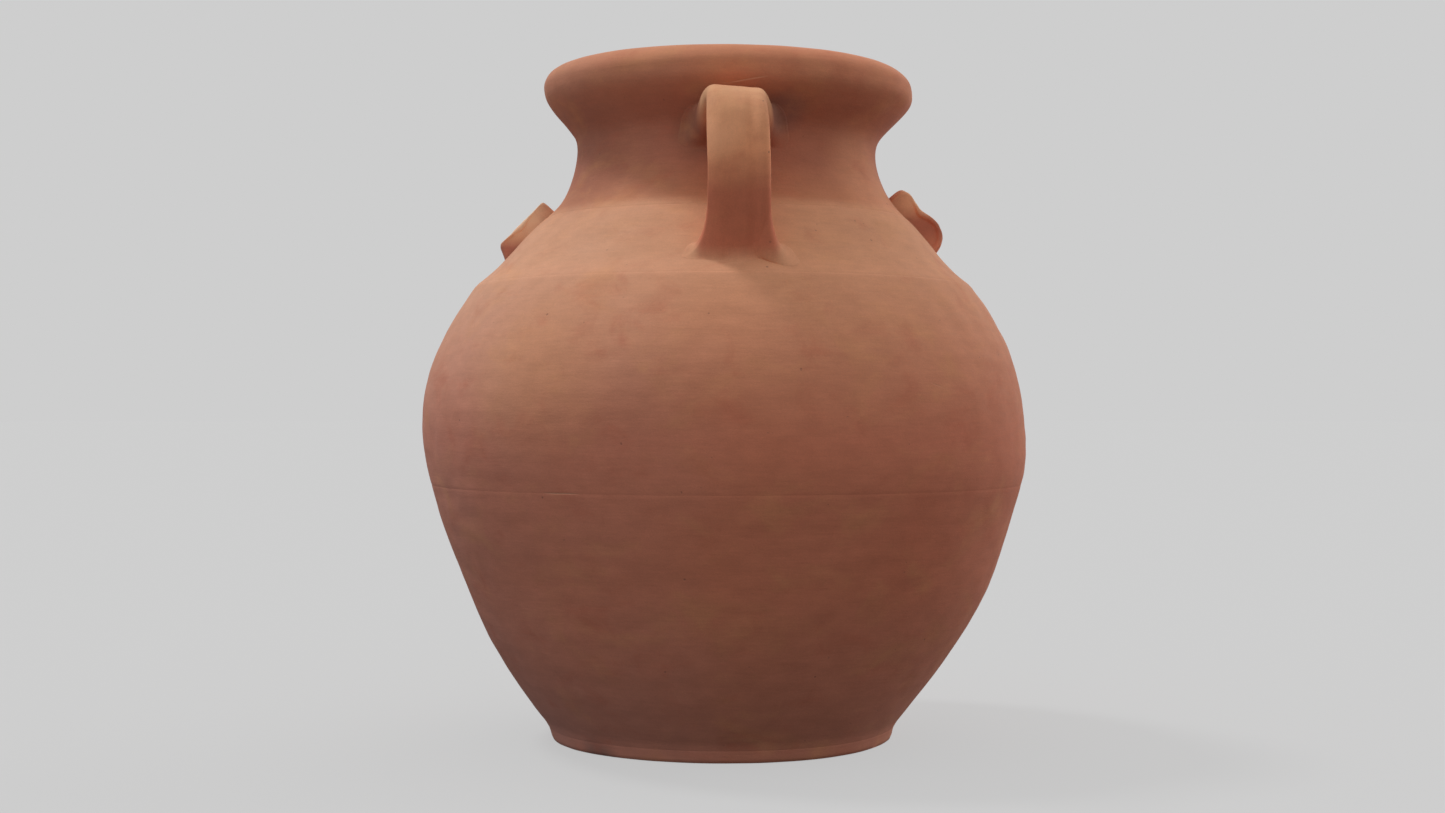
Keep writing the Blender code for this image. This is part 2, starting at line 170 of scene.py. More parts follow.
def outline():
    """The jar's section from under the foot, up the outside and down the inside, with its joints marked."""
    rings = RINGS
    inside = {name: inner(ring) for name, ring in RINGS.items()}
    underside = (FOOT_RADIUS - FOOT_EDGE - FOOT_TAPER, 0)
    lip_low = (LIP_RADIUS - LIP_UNDERCUT, RIM + LIP_UNDERSIDE_RISE)
    swell_centre = (LIP_RADIUS - LIP_SWELL_WIDTH, TOP - LIP_SWELL_HEIGHT)
    mouth_centre = (MOUTH + MOUTH_EDGE, TOP - MOUTH_EDGE)
    runs = [
        ("base", [(0, 0), underside]),
        (None, [underside, (FOOT_RADIUS - FOOT_TAPER, FOOT_EDGE), (rings["foot"][1], FOOT_TOP)]),
        ("foot", bow(rings["foot"], rings["seam"])),
        ("seam", bow(rings["seam"], rings["belly"])),
        (None, bow(rings["belly"], rings["break"])),
        ("break", bow(rings["break"], rings["neck"])),
        ("neck", bow(rings["neck"], rings["waist"])),
        (None, bow(rings["waist"], rings["rim"])),
        ("rim", [(rings["rim"][1], RIM), lip_low]),
        ("lip", [lip_low, (LIP_RADIUS, TOP - LIP_SWELL_HEIGHT)]),
        (None, arc(swell_centre, LIP_SWELL_WIDTH, LIP_SWELL_HEIGHT, 0, 90)),
        (None, [(swell_centre[0], TOP), (mouth_centre[0], TOP)]),
        (None, arc(mouth_centre, MOUTH_EDGE, MOUTH_EDGE, 90, 180)),
        (None, [(MOUTH, mouth_centre[1]), (MOUTH, RIM)]),
        ("rim in", [(MOUTH, RIM), (MOUTH, WAIST)]),
        (None, bow(inside["neck"], inside["waist"])[::-1]),
        ("neck in", bow(inside["break"], inside["neck"])[::-1]),
        ("break in", bow(inside["belly"], inside["break"])[::-1]),
        (None, bow(inside["seam"], inside["belly"])[::-1]),
        ("seam in", bow(inside["foot"], inside["seam"])[::-1]),
        ("foot in", [(inside["foot"][1], FOOT_TOP), (0, FOOT_TOP)]),
    ]
    marks, points = {}, []
    for name, run in runs:
        if name:
            marks[name] = len(points)
        points += list(spread_evenly(np.array(run, float), section_spots))
    points.append(np.array([0, FOOT_TOP]))
    points = np.array(points)
    soft = np.zeros((len(points), 1))
    for name, reach in SOFTEST.items():
        away = np.arange(len(points)) - marks[name]
        soft[:, 0] = np.maximum(soft[:, 0], np.exp(-((away / reach) ** 4)))
    rounded = eased(points, ROUNDING) * (1 - soft) + eased(points, SOFT_ROUNDING) * soft
    rounded[[0, -1], 0] = 0
    return eased(rounded, LAST_ROUNDING), marks


def section_spots(length):
    """Places one STEP apart along a run, with its far end left to the next run."""
    return np.linspace(0, length, max(2, round(length / STEP)), endpoint=False)


def eased(points, width):
    """The section with its corners rounded by a running average of this width, in steps."""
    reach = math.ceil(width * 3)
    kernel = np.exp(-0.5 * (np.arange(-reach, reach + 1) / width) ** 2)
    kernel /= kernel.sum()
    padded = np.concatenate(
        [points[reach:0:-1] * [-1, 1], points, points[-2 : -reach - 2 : -1] * [-1, 1]]
    )
    return np.stack([np.convolve(padded[:, k], kernel, "valid") for k in (0, 1)], axis=1)


def wander(level):
    """How far the jar's axis lies off its true place at these levels, in metres."""
    shift_x = shift_y = 0.0
    for middle, reach, x, y in LEANS:
        share = np.exp(-(((level - middle) / reach) ** 2)) / 1000
        shift_x = shift_x + x * share
        shift_y = shift_y + y * share
    return shift_x, shift_y


def thrown(radius, level, angle, inside):
    """Points of the uneven hand-thrown wall for a true radius, level and angle round the jar."""
    true = np.stack([radius * np.cos(angle), radius * np.sin(angle), level], axis=-1)
    swell = BROAD_SWELL * waves(true, BROAD_WAVE, 3) + FINE_SWELL * waves(true, FINE_WAVE, 5)
    spiral = 2 * math.pi * level / RIDGE_SPACING + angle + 0.9 * waves(true, 0.16, 7)
    fade = smooth_step(radius, 0.03, 0.09)
    ridges = np.sin(spiral) * RIDGE_DEPTH * (1 + waves(true, 0.07, 9))
    swell = (swell + ridges * np.where(inside, INSIDE_DEEPER, 1)) * fade
    oval = OVAL * np.cos(2 * angle + 0.7) * smooth_step(level, 0.0, 0.1)
    wide = radius * (1 + oval * fade) + swell
    shift_x, shift_y = wander(level)
    x = wide * np.cos(angle) + shift_x
    tilt = LIP_TILT * smooth_step(level, 0.40, 0.445)
    z = level + tilt * (x - shift_x)
    z = np.where(level < 0.0005, np.maximum(level, 0), z)
    return np.stack([x, wide * np.sin(angle) + shift_y, z], axis=-1)


def mesh_object(name, vertices, faces):
    mesh = bpy.data.meshes.new(name)
    mesh.from_pydata([tuple(v) for v in vertices], [], faces)
    work = bmesh.new()
    work.from_mesh(mesh)
    bmesh.ops.recalc_face_normals(work, faces=work.faces)
    work.to_mesh(mesh)
    work.free()
    mesh.shade_smooth()
    mesh.set_sharp_from_angle(angle=SHARP_ANGLE)
    made = bpy.data.objects.new(name, mesh)
    bpy.context.scene.collection.objects.link(made)
    return made


def ring_faces(rows, columns, closed):
    """Quads between rows of points that each run once round."""
    faces = []
    for r in range(rows if closed else rows - 1):
        low, high = r * columns, ((r + 1) % rows) * columns
        for c in range(columns):
            d = (c + 1) % columns
            faces.append((low + c, low + d, high + d, high + c))
    return faces


def groove_depths(points, marks):
    """How far each point of the section is pressed in along the joints."""
    depth = np.zeros(len(points))
    for name, deep in GROOVES.items():
        away = np.arange(len(points)) - marks[name]
        depth += deep * np.exp(-((away / 0.9) ** 2))
    return depth


def thrown_rows(points, marks, picks):
    """The wall's points at the picked places of the section, as rows round the jar."""
    angle = np.linspace(0, 2 * math.pi, COLUMNS, endpoint=False)[None, :]
    radius = np.maximum(points[picks, 0] - groove_depths(points, marks)[picks], 0)[:, None]
    inside = (np.array(picks) >= marks["rim in"])[:, None]
    return thrown(*np.broadcast_arrays(radius, points[picks, 1][:, None], angle, inside))


def spaced(start, end, step):
    """Places from start to end, close together next to both."""
    near = [start, start + 1, start + 2, end - 2, end - 1, end]
    return sorted(set(near) | set(range(start, end, step)))


def section_piece(name, low, high, points, marks):
    """One thrown section of the wall as a closed piece."""
    picks = spaced(marks[low], marks[high], 2)
    picks += spaced(marks[high + " in"], marks[low + " in"], 4)
    rows = thrown_rows(points, marks, picks)
    return mesh_object(name, rows.reshape(-1, 3), ring_faces(len(picks), COLUMNS, True))


def rim_piece(points, marks):
    picks = spaced(marks["rim"], marks["rim in"], 1)
    rows = thrown_rows(points, marks, picks)
    return mesh_object("hand_thrown_rim", rows.reshape(-1, 3), ring_faces(len(picks), COLUMNS, True))


def foot_piece(points, marks):
    """The foot slab: rings of points with one point at the centre of each side."""
    last = len(points) - 1
    under = spaced(4, marks["foot"], 3)
    over = spaced(marks["foot in"], last - 4, 4)
    rows = thrown_rows(points, marks, under + over)
    count = rows.shape[0] * COLUMNS
    flat = rows.reshape(-1, 3)
    ends = np.array([flat[:COLUMNS].mean(axis=0), flat[-COLUMNS:].mean(axis=0)])
    faces = ring_faces(rows.shape[0], COLUMNS, False)
    for c in range(COLUMNS):
        d = (c + 1) % COLUMNS
        faces.append((d, c, count))
        faces.append((count - COLUMNS + c, count - COLUMNS + d, count + 1))
    return mesh_object("hand_thrown_foot", np.concatenate([flat, ends]), faces)


def outer_tree(points, marks):
    """The jar's outside up to the lip, for luting pieces on it."""
    picks = list(range(marks["foot"], marks["lip"], 2))
    rows = thrown_rows(points, marks, picks)[:, ::2]
    columns = rows.shape[1]
    faces = ring_faces(len(picks), columns, False)
    return BVHTree.FromPolygons([Vector(p) for p in rows.reshape(-1, 3)], faces)


# The strap handle, in the plane through the jar's axis, as the CAD has it: the crown's rise over the waist,
# how far the crown and the elbow stand out from it, the elbow's drop, the leans at both ends and the root's
# place on the shoulder's slope.
CROWN_RISE = 0.0145
CROWN_REACH = 0.038
ELBOW_REACH = 0.063
ELBOW_DROP = 0.020
ROOT_LEAN = 14
ROOT_SHARE = 0.31
ROOT_RUN_LEAN = -104
STRAP_PULL = 0.4
# Where the visible strap starts inside the neck's wall, and how deeply it ends inside the shoulder's.
STRAP_START = 0.0973
ROOT_DEPTH = 0.0045
STRAP_WIDTH = 0.0380
STRAP_THICKNESS = 0.013
STRAP_CORNER = 0.0052
# Points round the strap and rows along it.
STRAP_ROUND = 64
STRAP_ROWS = 110
# How much wider, thicker and rounder the strap is where it leaves the neck, and how much less at its bend.
NECK_END_WIDER = 0.013
NECK_END_THICKER = 0.007
NECK_END_ROUNDER = 0.003
BEND_NARROWER = 0.0016
BEND_THINNER = 0.0008
ROOT_WIDER = 0.0012
# Finger marks down the strap: a groove right of its middle, rims at its edges, and a thumbed left edge.
GROOVE_DEPTH = 0.0012
GROOVE_PLACE = 0.0085
GROOVE_WIDTH = 0.0028
EDGE_RIM = 0.0005
THUMBED = 0.0024
ROLL = math.radians(4.0)


def slope_point(share):
    """A place on the shoulder's slope as (radius, level): 0 at the break, 1 at the neck joint."""
    return np.array([BREAK_RADIUS, BREAK]) * (1 - share) + np.array([NECK_RADIUS, NECK]) * share


def strap_line():
    """The strap's middle line from inside the neck to inside the shoulder, with its headings."""
    knots = [
        (np.array([STRAP_START, WAIST]), ROOT_LEAN),
        (np.array([WAIST_RADIUS + CROWN_REACH, WAIST + CROWN_RISE]), 0),
        (np.array([WAIST_RADIUS + ELBOW_REACH, WAIST - ELBOW_DROP]), -90),
        (slope_point(ROOT_SHARE) - ROOT_DEPTH * heading(55), ROOT_RUN_LEAN),
    ]
    line = []
    for (start, way), (end, way_end) in zip(knots, knots[1:]):
        pull = STRAP_PULL * np.linalg.norm(end - start)
        leave, arrive = start + pull * heading(way), end - pull * heading(way_end)
        line.append(bezier(start, leave, arrive, end, np.linspace(0, 1, 40, endpoint=False)))
    line = np.concatenate([*line, knots[-1][0][None]])
    line = spread_evenly(line, lambda length: np.linspace(0, length, STRAP_ROWS))
    run = np.gradient(line, axis=0)
    return line, run / np.linalg.norm(run, axis=1)[:, None]


def resampled(loop, count):
    """A closed loop as this many evenly spaced points."""
    loop = np.concatenate([loop, loop[:1]])
    return spread_evenly(loop, lambda length: np.linspace(0, length, count, endpoint=False))


def strap_section(width, thickness, corner):
    """Evenly spaced points round a bar with round corners: across it and through it."""
    half_w, half_t = width / 2, thickness / 2
    loop = []
    for turn, (sx, sy) in enumerate(((1, 1), (-1, 1), (-1, -1), (1, -1))):
        a = np.radians(np.linspace(90 * turn, 90 * turn + 90, 9))
        centre = np.array([sx * (half_w - corner), sy * (half_t - corner)])
        loop.append(centre + corner * np.stack([np.cos(a), np.sin(a)], axis=1))
    return resampled(np.concatenate(loop), STRAP_ROUND)


def strap_rows(side):
    """Rows of points round the strap, from neck to shoulder. side is -1 in front and 1 behind."""
    line, run = strap_line()
    share = np.linspace(0, 1, len(line))
    rows = []
    for s, spot, way in zip(share, line, run):
        bend = math.exp(-(((s - 0.36) / 0.1) ** 2))
        neck_end = 1 - smooth_step(s, 0.02, 0.34)
        root_end = smooth_step(s, 0.75, 1.0)
        flat = strap_section(
            STRAP_WIDTH - BEND_NARROWER * bend + ROOT_WIDER * root_end + NECK_END_WIDER * neck_end,
            STRAP_THICKNESS - BEND_THINNER * bend + NECK_END_THICKER * neck_end,
            STRAP_CORNER + BEND_THINNER * bend + NECK_END_ROUNDER * neck_end,
        )
        x, y = flat[:, 0].copy(), flat[:, 1].copy()
        outer = smooth_step(y, 0, STRAP_THICKNESS * 0.4)
        groove = np.exp(-(((x - GROOVE_PLACE) / GROOVE_WIDTH) ** 2)) * smooth_step(s, 0.25, 0.45)
        rims = (np.abs(x) / (STRAP_WIDTH / 2)) ** 4 - 1
        thumbed = smooth_step(-x, 0.0095, 0.0185) * smooth_step(s, 0.33, 0.48)
        y += outer * (EDGE_RIM * rims - GROOVE_DEPTH * groove - THUMBED * thumbed)
        roll = ROLL * math.exp(-(((s - 0.3) / 0.16) ** 2))
        x, y = x * math.cos(roll) + y * math.sin(roll), y * math.cos(roll) - x * math.sin(roll)
        # The strap stands a little to the right of the axis, less so at its bend.
        sway = 0.0032 - 0.0010 * smooth_step(s, 0, 0.35) + 0.0012 * smooth_step(s, 0.4, 0.7)
        reach = spot[0] - y * way[1]
        level = spot[1] + y * way[0]
        # Its first rows follow the neck's curve, so that its end stays inside the wall.
        hollow = x * x / 0.2 * (1 - smooth_step(s, 0.0, 0.2))
        points = np.stack([x + sway, side * (reach - hollow), level], axis=1)
        points += 0.00022 * waves(points, 0.03, 21)[:, None] * np.array([0.3, side, 0.6])
        rows.append(points)
    return np.array(rows)


def capped(name, rows, closed=False):
    """A closed piece from rows of points round a bar, with a flat cap on each end."""
    count, columns = rows.shape[:2]
    faces = ring_faces(count, columns, closed)
    if not closed:
        faces.append(tuple(range(columns)))
        faces.append(tuple(range((count - 1) * columns, count * columns)))
    return mesh_object(name, rows.reshape(-1, 3), faces)


def on_wall(tree, point):
    """The place on the wall nearest to a point, and the wall's outward direction there."""
    place, normal, _, _ = tree.find_nearest(Vector(point))
    return place, -normal if normal.x * place.x + normal.y * place.y < 0 else normal


# How much more a root spreads sideways than up or down, and how far its hidden rings lie under the surface.
FAN_OUT = 2.2
ROOT_UNDER = 0.0025


def root_piece(name, rows, tree, along, spread):
    """The clay smoothed out from a strap's end over the wall: a fillet tangent to both.

    rows run from inside the wall outwards. along and spread give the fillet's length up the strap and out
    over the wall for each point round the strap. Thirteen rings make the visible fillet and four close it.
    """
    landings, highs, lows, walls = [], [], [], []
    for k in range(rows.shape[1]):
        line = rows[:, k]
        heights = []
        for point in line[:40]:
            place, normal = on_wall(tree, point)
            heights.append((Vector(point) - place).dot(normal))
        first = next(i for i, height in enumerate(heights) if height > 0)
        share = heights[first] / (heights[first] - heights[first - 1])
        landing = line[first] + (line[first - 1] - line[first]) * share
        path = np.concatenate([[landing], line[first:]])
        gone = np.r_[0, np.cumsum(np.linalg.norm(np.diff(path, axis=0), axis=1))]
        landings.append(Vector(landing))
        for found, part in ((highs, 1.0), (lows, 0.4)):
            found.append(Vector([np.interp(along[k] * part, gone, path[:, c]) for c in range(3)]))
        walls.append(on_wall(tree, landing)[1])
    centre = Vector(np.mean(landings, axis=0))
    normal = sum(walls, Vector()).normalized()
    rings = [[] for _ in range(17)]
    for k, landing in enumerate(landings):
        high, low = highs[k], lows[k]
        out = landing - centre
        out.x *= FAN_OUT
        out -= out.dot(normal) * normal
        out.normalize()
        high -= out * 0.00025
        far, far_normal = on_wall(tree, landing + out * spread[k])
        for j in range(13):
            t = j / 12
            spot = (1 - t) ** 2 * high + 2 * t * (1 - t) * landing + t * t * far
            near, near_normal = on_wall(tree, spot)
            least = 0.00012 * (1 - t)
            if t > 0.3 and (spot - near).dot(near_normal) < least:
                spot = near + near_normal * least
            rings[j].append(spot)
        rings[13].append(far + out * 0.0012 - far_normal * 0.0011)
        rings[14].append(landing - walls[k] * ROOT_UNDER - out * 0.0008)
        rings[15].append(low - out * 0.0018)
        rings[16].append(high - out * 0.0012)
    return capped(name, np.array(rings), closed=True)


def handle_pieces(side, label, tree):
    """A strap with its upper and lower root. The lower root runs out into a toe at each side."""
    rows = strap_rows(side)
    strap = capped(label + "_strap", rows)
    section = strap_section(STRAP_WIDTH, STRAP_THICKNESS, STRAP_CORNER)
    across = np.abs(section[:, 0]) / (STRAP_WIDTH / 2)
    outer = smooth_step(section[:, 1], -STRAP_THICKNESS / 2, STRAP_THICKNESS / 2)
    flank = smooth_step(across, 0.55, 1.0)
    toe = flank * (1 + 0.1 * np.sign(section[:, 0]))
    lower = root_piece(
        label + "_lower_root",
        rows[::-1],
        tree,
        0.009 + 0.023 * flank + 0.004 * (1 - outer),
        0.005 + 0.004 * (1 - outer) + toe * (0.004 + 0.009 * outer),
    )
    upper = root_piece(
        label + "_upper_root",
        rows,
        tree,
        0.006 + 0.012 * flank + 0.008 * (1 - outer),
        0.004 + 0.003 * flank + 0.005 * (1 - outer),
    )
    return strap, upper, lower


def slope_frame(side, share):
    """An ornament's place on the shoulder and its directions up the slope, off the wall and round it."""
    spot = slope_point(share)
    rise = math.atan2(NECK - BREAK, NECK_RADIUS - BREAK_RADIUS)
    shift_x, shift_y = wander(spot[1])
    place = np.array([side * spot[0] + shift_x, shift_y, spot[1]])
    up = np.array([side * math.cos(rise), 0, math.sin(rise)])
    off = np.array([side * math.sin(rise), 0, -math.cos(rise)])
    return place, up, off, np.array([0, 1, 0])


def softened(loop, times):
    """The loop with its corners worn down by this many passes of averaging."""
    for _ in range(times):
        loop = 0.5 * loop + 0.25 * (np.roll(loop, 1, axis=0) + np.roll(loop, -1, axis=0))
    return loop


# An ornament: its place on the shoulder's slope, its end outline (up the slope, off the wall), how far it
# runs round the jar, how soft its edges and corners are, how deeply its ends are pressed, the height over
# which its back sinks towards its ends and how far, how far it narrows there, and its random seed.
Ornament = namedtuple("Ornament", "name side share corners breadth edge soft dish rise sink draw seed")
TABLET = Ornament(
    name="shoulder_tablet",
    side=-1,
    share=0.765,
    corners=[(-0.0258, -0.005), (0.0234, -0.004), (0.0230, 0.0084), (-0.0192, 0.0088)],
    breadth=0.045,
    edge=0.0018,
    soft=2,
    dish=0.0004,
    rise=0.008,
    sink=0.0008,
    draw=0.05,
    seed=41,
)
LUG = Ornament(
    name="shoulder_lug",
    side=1,
    share=0.875,
    corners=[
        (-0.0235, -0.004),
        (0.0262, -0.004),
        (0.0268, 0.0035),
        (0.0260, 0.0126),
        (0.0212, 0.0140),
        (0.0137, 0.0125),
        (0.0067, 0.0115),
        (0.0000, 0.0134),
        (-0.0065, 0.0143),
        (-0.0130, 0.0132),
        (-0.0182, 0.0103),
        (-0.0215, 0.0052),
    ],
    breadth=0.043,
    edge=0.0016,
    soft=4,
    dish=0.0019,
    rise=0.010,
    sink=0.0016,
    draw=0.08,
    seed=51,
)
# The pressed face of an ornament's end: the border round it and the slope down into it.
PRESS_BORDER = 0.0008
PRESS_SLOPE = 0.0030


def ornament_rows(made):
    """For each row: its end, distance from the middle, drawing in, share of the pressing, share of width."""
    half, edge = made.breadth / 2, made.edge
    face = [(half, edge + PRESS_BORDER + PRESS_SLOPE, 1.0, wide) for wide in (0.03, 0.2, 0.4, 0.6, 0.8)]
    pressed = [
        (half, edge + PRESS_BORDER + PRESS_SLOPE * t, t * t * (3 - 2 * t), 1.0) for t in np.linspace(1, 0, 5)
    ]
    rounded = [
        (half - edge * (1 - math.cos(a)), edge * (1 - math.sin(a)), 0.0, 1.0)
        for a in np.linspace(0, math.pi / 2, 6)
    ]
    end = face + pressed + rounded
    body = [(1, c, 0.0, 0.0, 1.0) for c in np.linspace(-half + edge, half - edge, 24)[1:-1]]
    return [(-1, *row) for row in end] + body + [(1, *row) for row in end[::-1]]


def ornament_piece(made):
    """An applied piece: its end outline carried round the jar, with rounded ends that are pressed in."""
    place, up, off, round_way = slope_frame(made.side, made.share)
    loop = softened(resampled(np.array(made.corners), 96), made.soft)
    middle = np.array([loop[:, 0].mean(), 0.003])
    reach = np.linalg.norm(loop - middle, axis=1)[:, None]
    rows = []
    for way, c, inset, press, wide in ornament_rows(made):
        flat = loop - (loop - middle) / reach * np.minimum(inset, reach * 0.6)
        flat = middle + (flat - middle) * wide
        end = (c / (made.breadth / 2)) ** 2
        x = flat[:, :1] * (1 - made.draw * end)
        y = flat[:, 1:] - made.sink * end * smooth_step(flat[:, 1:], 0, made.rise)
        deep = press * made.dish * smooth_step(x, 0.016, 0.006)
        points = place + x * up + y * off + way * (c - deep) * round_way
        rough = 0.00022 * waves(points, 0.02, made.seed) + 0.0001 * waves(points, 0.006, made.seed + 1)
        rows.append(points + rough[:, None] * np.clip(y / 0.006, 0, 1) * off)
    return capped(made.name, np.array(rows))


class Nodes:
    """A small helper for building one node tree."""

    def __init__(self, tree):
        self.tree = tree

    def add(self, kind, inputs=None, **settings):
        node = self.tree.nodes.new(kind)
        for key, value in settings.items():
            setattr(node, key, value)
        for key, value in (inputs or {}).items():
            if isinstance(value, bpy.types.NodeSocket):
                self.tree.links.new(value, node.inputs[key])
            else:
                node.inputs[key].default_value = value
        return node

    def math(self, operation, a, b=None):
        inputs = {0: a} if b is None else {0: a, 1: b}
        return self.add("ShaderNodeMath", inputs, operation=operation).outputs[0]

    def noise(self, place, scale, detail, stretch=(1, 1, 1), roughness=0.55, distortion=0.0):
        moved = self.add("ShaderNodeMapping", {"Vector": place, "Scale": stretch})
        texture = self.add(
            "ShaderNodeTexNoise",
            {
                "Vector": moved.outputs[0],
                "Scale": scale,
                "Detail": detail,
                "Roughness": roughness,
                "Distortion": distortion,
            },
        )
        return texture.outputs["Fac"]

    def spread(self, value, low, high, out_low=0.0, out_high=1.0):
        """The value carried from one range to another, smoothly and clamped."""
        made = self.add(
            "ShaderNodeMapRange",
            {0: value, 1: low, 2: high, 3: out_low, 4: out_high},
            interpolation_type="SMOOTHSTEP",
        )
        return made.outputs[0]

    def ramp(self, value, stops):
        made = self.add("ShaderNodeValToRGB", {"Fac": value})
        elements = made.color_ramp.elements
        while len(elements) < len(stops):
            elements.new(0.5)
        for element, (spot, colour) in zip(elements, stops):
            element.position = spot
            element.color = (*colour, 1)
        return made.outputs["Color"]

    def mix(self, blend, share, a, b):
        made = self.add("ShaderNodeMix", {"Factor": share}, data_type="RGBA", blend_type=blend)
        for key, value in ((6, a), (7, b)):
            if isinstance(value, bpy.types.NodeSocket):
                self.tree.links.new(value, made.inputs[key])
            else:
                made.inputs[key].default_value = (*value, 1)
        return made.outputs[2]


# The clay's fired colours, some of them painted light and shade.
FOOT_RED = (0.55, 0.225, 0.165)
WALL_RED = (0.63, 0.23, 0.15)
SHOULDER_TAN = (0.70, 0.36, 0.225)
# The neck's brown, partly the clay's own and partly painted shade under the lip.
NECK_BROWN_AND_SHADE = (0.49, 0.19, 0.125)
LIP_TAN = (0.67, 0.27, 0.165)
# A pale tan, painted light on the top of the lug's knob where it faces the light.
PAINTED_LIGHT_TAN = (0.95, 0.53, 0.33)
# The strap's red and tan: the red is painted shade on its lower part and at its root, the tan painted light
# on its upper part.
STRAP_SHADED_RED = (0.63, 0.21, 0.13)
STRAP_LIT_TAN = (0.88, 0.39, 0.22)
# A darker red, painted shade in the lug's pressed hollow and along the tablet's lower edge.
PAINTED_SHADE_RED = (0.56, 0.21, 0.14)
PATCH_OCHRE = (0.74, 0.37, 0.17)
STAIN_RED = (0.52, 0.14, 0.085)
SPECK_BROWN = (0.20, 0.09, 0.065)
SCRATCH_TAN = (0.80, 0.46, 0.30)
WARMTH = (1.07, 1.01, 0.95)
RELIEF_DEPTH = 0.0007
# How they follow one another up the wall, the straps and the ornaments, by share of the jar's height.
# On the wall the neck and the underside of the lip are darker brown, partly painted shade under the lip; the
# shoulder is lighter tan and the colour turns a little darker towards the foot.
WALL_COLOURS = (
    (0.03, FOOT_RED),
    (0.25, WALL_RED),
    (0.45, WALL_RED),
    (0.70, SHOULDER_TAN),
    (0.776, SHOULDER_TAN),
    (0.790, (0.57, 0.245, 0.145)),
    (0.845, NECK_BROWN_AND_SHADE),
    (0.920, NECK_BROWN_AND_SHADE),
    (0.965, LIP_TAN),
    (1.00, (0.57, 0.25, 0.15)),
)
# On the strap, painted shade makes the root and the lower part dark red and painted light makes the upper
# part tan.
STRAP_COLOURS = (
    (0.685, SHOULDER_TAN),
    (0.712, STRAP_SHADED_RED),
    (0.780, STRAP_SHADED_RED),
    (0.840, STRAP_LIT_TAN),
    (0.920, (0.68, 0.38, 0.23)),
)
# On the tablet, painted shade darkens its lower edge and painted light makes its upper part pale; on the
# lug, painted shade darkens the pressed hollow and painted light makes the knob's top pale.
TABLET_COLOURS = ((0.730, PAINTED_SHADE_RED), (0.745, (0.88, 0.45, 0.26)), (0.770, (0.98, 0.60, 0.38)))
LUG_COLOURS = ((0.738, (0.72, 0.29, 0.19)), (0.758, PAINTED_SHADE_RED), (0.772, PAINTED_SHADE_RED), (0.795, PAINTED_LIGHT_TAN))
# The broad tint across the jar, from one side to the other: painted cool light, greyer and bluer on the
# left, and a little warmer in the middle.
PAINTED_SIDE_TINT = ((0.0, (0.97, 1.11, 1.26)), (0.5, (1.02, 1.00, 0.94)), (1.0, (1.00, 0.97, 0.96)))
# Patches of colour: centre, reach, colour and how strong. The first is painted light, lighter on the neck's
# right, and the second painted shade on the neck's left. The third, dark at the foot's front left, and the
# fourth and fifth, dark beside the strap's top under the lip, are partly smudges from the kiln and from
# handling and partly painted shade that this soft light doesn't give. The sixth is a painted highlight on
# the strap's left edge. The last two are broad patches, ochre on the front left of the belly and dark red
# low on its front right.
FLASHES_AND_PAINTED_LIGHT = (
    ((0.088, -0.055, 0.370), 0.050, (0.76, 0.36, 0.22), 0.55),
    ((-0.090, -0.050, 0.378), 0.055, (0.36, 0.13, 0.08), 0.50),
    ((-0.086, -0.084, -0.006), 0.022, (0.16, 0.10, 0.09), 0.80),
    ((0.034, -0.102, 0.411), 0.022, (0.24, 0.14, 0.13), 0.60),
    ((-0.020, -0.102, 0.396), 0.024, (0.28, 0.13, 0.09), 0.50),
    ((-0.0125, -0.170, 0.385), 0.022, (0.97, 0.50, 0.31), 0.60),
    ((-0.110, -0.140, 0.240), 0.070, (0.72, 0.34, 0.17), 0.35),
    ((0.100, -0.130, 0.150), 0.070, (0.56, 0.17, 0.10), 0.35),
)
# Scratches: centre, the direction across the scratch, half length.
SCRATCH_WIDTH = 0.0007
SCRATCHES = (
    ((0.010, -0.123, 0.4262), (-0.19, 0.0, 1.0), 0.017),
    ((-0.003, -0.123, 0.4240), (0.10, 0.0, 1.0), 0.006),
    ((-0.104, -0.168, 0.1716), (0.02, 0.0, 1.0), 0.016),
    ((0.120, -0.150, 0.236), (0.30, 0.1, 1.0), 0.010),
    ((0.060, 0.180, 0.250), (-0.40, 0.0, 1.0), 0.014),
    ((-0.150, 0.100, 0.290), (0.15, 0.0, 1.0), 0.012),
    ((0.185, 0.050, 0.190), (0.0, 0.5, 1.0), 0.011),
)


def scratches(n, place, warp):
    """Where the thin scratches are, from 0 to 1."""
    found = 0.0
    for centre, across, reach in SCRATCHES:
        offset = n.add("ShaderNodeVectorMath", {0: place, 1: centre}, operation="SUBTRACT").outputs[0]
        across = tuple(Vector(across).normalized())
        beside = n.add("ShaderNodeVectorMath", {0: offset, 1: across}, operation="DOT_PRODUCT")
        beside = n.math("ADD", beside.outputs["Value"], n.math("MULTIPLY", warp, reach * 0.3))
        beside = n.math("ABSOLUTE", beside)
        away = n.add("ShaderNodeVectorMath", {0: offset}, operation="LENGTH").outputs["Value"]
        thin = n.spread(beside, SCRATCH_WIDTH, 0.0001)
        line = n.math("MULTIPLY", thin, n.spread(away, reach, reach * 0.3))
        found = n.math("MAXIMUM", found, line)
    return found


def shaded(n, colour, value, low, high):
    """The colour made darker where the value is low and lighter where it is high."""
    return n.mix("MULTIPLY", 1.0, colour, n.ramp(value, (low, high)))


